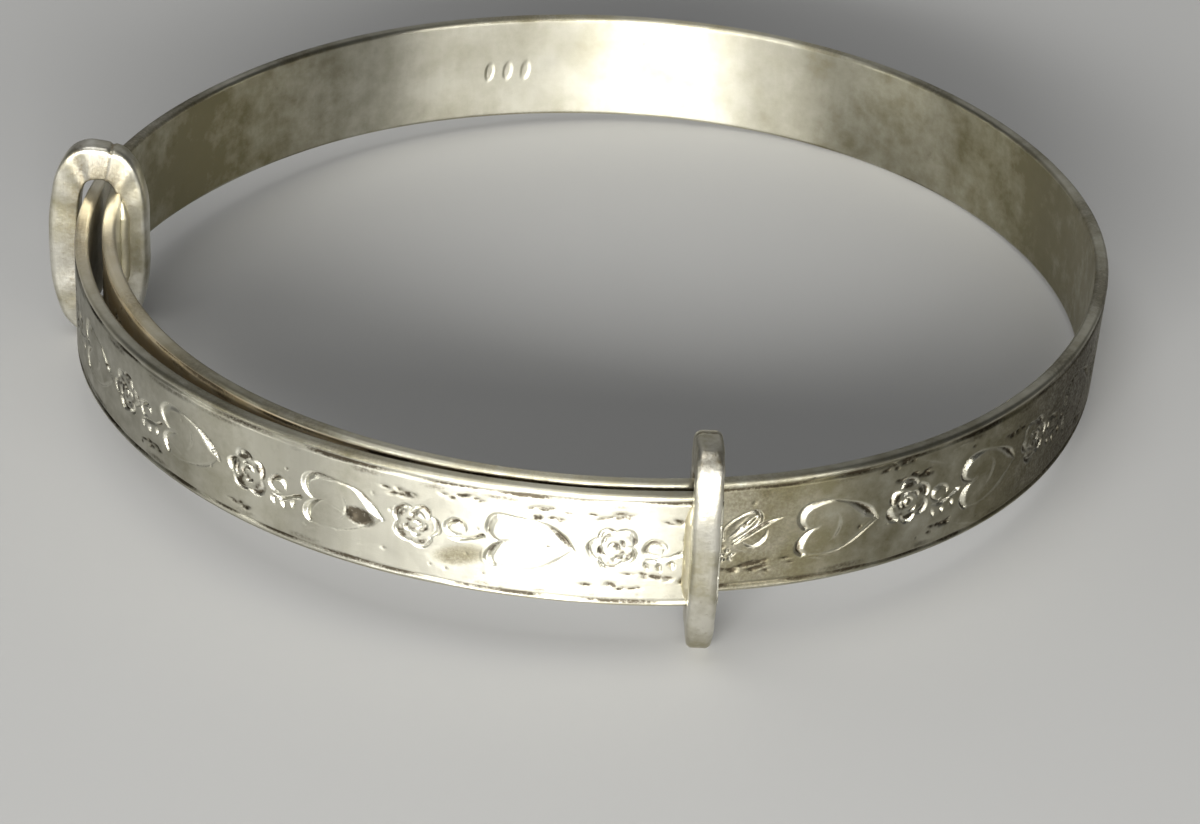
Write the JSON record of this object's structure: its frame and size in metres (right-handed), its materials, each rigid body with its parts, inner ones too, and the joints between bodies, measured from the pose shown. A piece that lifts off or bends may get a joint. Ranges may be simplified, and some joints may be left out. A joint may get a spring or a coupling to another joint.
{
  "type": "bangle bracelet",
  "caption": "Expanding silver bangle: one springy engraved strip coiled past a full turn, with a soldered wire collar at each end that slides along the other layer.",
  "frame": {"origin": "middle of the whole bangle's box, half way up the strip's width", "axes": "+Z runs through the wrist opening, across the strip's width; -Y is the side where the engraved outer layer ends at its collar; -X is the side of the inner end's collar"},
  "size_m": [0.0494, 0.0484, 0.0101],
  "materials": {
    "strip": "worn silver, bright-cut outside and satin inside, with olive-brown tarnish in the recesses",
    "collar": "polished silver wire with fine scratches",
    "solder": "slightly yellow silver solder, uneven"
  },
  "bodies": {
    "inner_end": {"strip_length_01": "strip", "inner_end_collar": "collar", "inner_end_solder": "solder"},
    "length_02": {"strip_length_02": "strip"},
    "length_03": {"strip_length_03": "strip"},
    "length_04": {"strip_length_04": "strip"},
    "length_05": {"strip_length_05": "strip"},
    "length_06": {"strip_length_06": "strip"},
    "length_07": {"strip_length_07": "strip"},
    "length_08": {"strip_length_08": "strip"},
    "length_09": {"strip_length_09": "strip"},
    "length_10": {"strip_length_10": "strip"},
    "length_11": {"strip_length_11": "strip"},
    "length_12": {"strip_length_12": "strip"},
    "length_13": {"strip_length_13": "strip"},
    "length_14": {"strip_length_14": "strip"},
    "length_15": {"strip_length_15": "strip"},
    "length_16": {"strip_length_16": "strip"},
    "length_17": {"strip_length_17": "strip"},
    "length_18": {"strip_length_18": "strip"},
    "length_19": {"strip_length_19": "strip"},
    "outer_end": {"strip_length_20": "strip", "outer_end_collar": "collar", "outer_end_solder": "solder"}
  },
  "joints": [
    {"name": "opening", "type": "hinge", "parent": "length_11", "child": "length_10", "pos_m": [0.01541, 0.01921, 0], "axis": [0, 0, 1], "range_deg": [-0.25, 4.83]},
    {"name": "flex_01", "type": "hinge", "parent": "length_02", "child": "inner_end", "pos_m": [-0.02042, -0.00671, 0], "axis": [0, 0, 1], "range_deg": [-0.38, 6.91]},
    {"name": "flex_02", "type": "hinge", "parent": "length_03", "child": "length_02", "pos_m": [-0.01539, -0.01471, 0], "axis": [0, 0, 1], "range_deg": [-0.33, 5.92]},
    {"name": "flex_03", "type": "hinge", "parent": "length_04", "child": "length_03", "pos_m": [-0.00759, -0.02001, 0], "axis": [0, 0, 1], "range_deg": [-0.22, 3.95]},
    {"name": "flex_04", "type": "hinge", "parent": "length_05", "child": "length_04", "pos_m": [0.00167, -0.02189, 0], "axis": [0, 0, 1], "range_deg": [-0.17, 2.94]},
    {"name": "flex_05", "type": "hinge", "parent": "length_06", "child": "length_05", "pos_m": [0.01096, -0.02017, 0], "axis": [0, 0, 1], "range_deg": [-0.22, 3.97]},
    {"name": "flex_06", "type": "hinge", "parent": "length_07", "child": "length_06", "pos_m": [0.01859, -0.01465, 0], "axis": [0, 0, 1], "range_deg": [-0.31, 5.63]},
    {"name": "flex_07", "type": "hinge", "parent": "length_08", "child": "length_07", "pos_m": [0.0232, -0.0064, 0], "axis": [0, 0, 1], "range_deg": [-0.37, 6.82]},
    {"name": "flex_08", "type": "hinge", "parent": "length_09", "child": "length_08", "pos_m": [0.02431, 0.00297, 0], "axis": [0, 0, 1], "range_deg": [-0.38, 7]},
    {"name": "flex_09", "type": "hinge", "parent": "length_10", "child": "length_09", "pos_m": [0.02149, 0.01198, 0], "axis": [0, 0, 1], "range_deg": [-0.34, 6.2]},
    {"name": "flex_11", "type": "hinge", "parent": "length_11", "child": "length_12", "pos_m": [0.00691, 0.02328, 0], "axis": [0, 0, -1], "range_deg": [-0.21, 3.62]},
    {"name": "flex_12", "type": "hinge", "parent": "length_12", "child": "length_13", "pos_m": [-0.00253, 0.02349, 0], "axis": [0, 0, -1], "range_deg": [-0.18, 3.09]},
    {"name": "flex_13", "type": "hinge", "parent": "length_13", "child": "length_14", "pos_m": [-0.01133, 0.02007, 0], "axis": [0, 0, -1], "range_deg": [-0.2, 3.59]},
    {"name": "flex_14", "type": "hinge", "parent": "length_14", "child": "length_15", "pos_m": [-0.0181, 0.01347, 0], "axis": [0, 0, -1], "range_deg": [-0.28, 5]},
    {"name": "flex_15", "type": "hinge", "parent": "length_15", "child": "length_16", "pos_m": [-0.0222, 0.00495, 0], "axis": [0, 0, -1], "range_deg": [-0.36, 6.65]},
    {"name": "flex_16", "type": "hinge", "parent": "length_16", "child": "length_17", "pos_m": [-0.02247, -0.00446, 0], "axis": [0, 0, -1], "range_deg": [-0.4, 7.34]},
    {"name": "flex_17", "type": "hinge", "parent": "length_17", "child": "length_18", "pos_m": [-0.01867, -0.0131, 0], "axis": [0, 0, -1], "range_deg": [-0.33, 5.95]},
    {"name": "flex_18", "type": "hinge", "parent": "length_18", "child": "length_19", "pos_m": [-0.01159, -0.01934, 0], "axis": [0, 0, -1], "range_deg": [-0.17, 2.96]},
    {"name": "flex_19", "type": "hinge", "parent": "length_19", "child": "outer_end", "pos_m": [-0.00266, -0.02249, 0], "axis": [0, 0, -1], "range_deg": [-0.09, 1.43]}
  ],
  "couplings": [
    {"joint": "flex_01", "follows": "opening", "ratio": 1.4248},
    {"joint": "flex_02", "follows": "opening", "ratio": 1.2209},
    {"joint": "flex_03", "follows": "opening", "ratio": 0.8136},
    {"joint": "flex_04", "follows": "opening", "ratio": 0.6053},
    {"joint": "flex_05", "follows": "opening", "ratio": 0.8168},
    {"joint": "flex_06", "follows": "opening", "ratio": 1.1618},
    {"joint": "flex_07", "follows": "opening", "ratio": 1.4067},
    {"joint": "flex_08", "follows": "opening", "ratio": 1.4442},
    {"joint": "flex_09", "follows": "opening", "ratio": 1.2779},
    {"joint": "flex_11", "follows": "opening", "ratio": 0.7441},
    {"joint": "flex_12", "follows": "opening", "ratio": 0.6353},
    {"joint": "flex_13", "follows": "opening", "ratio": 0.7394},
    {"joint": "flex_14", "follows": "opening", "ratio": 1.0312},
    {"joint": "flex_15", "follows": "opening", "ratio": 1.3724},
    {"joint": "flex_16", "follows": "opening", "ratio": 1.514},
    {"joint": "flex_17", "follows": "opening", "ratio": 1.2279},
    {"joint": "flex_18", "follows": "opening", "ratio": 0.6094},
    {"joint": "flex_19", "follows": "opening", "ratio": 0.2926}
  ]
}
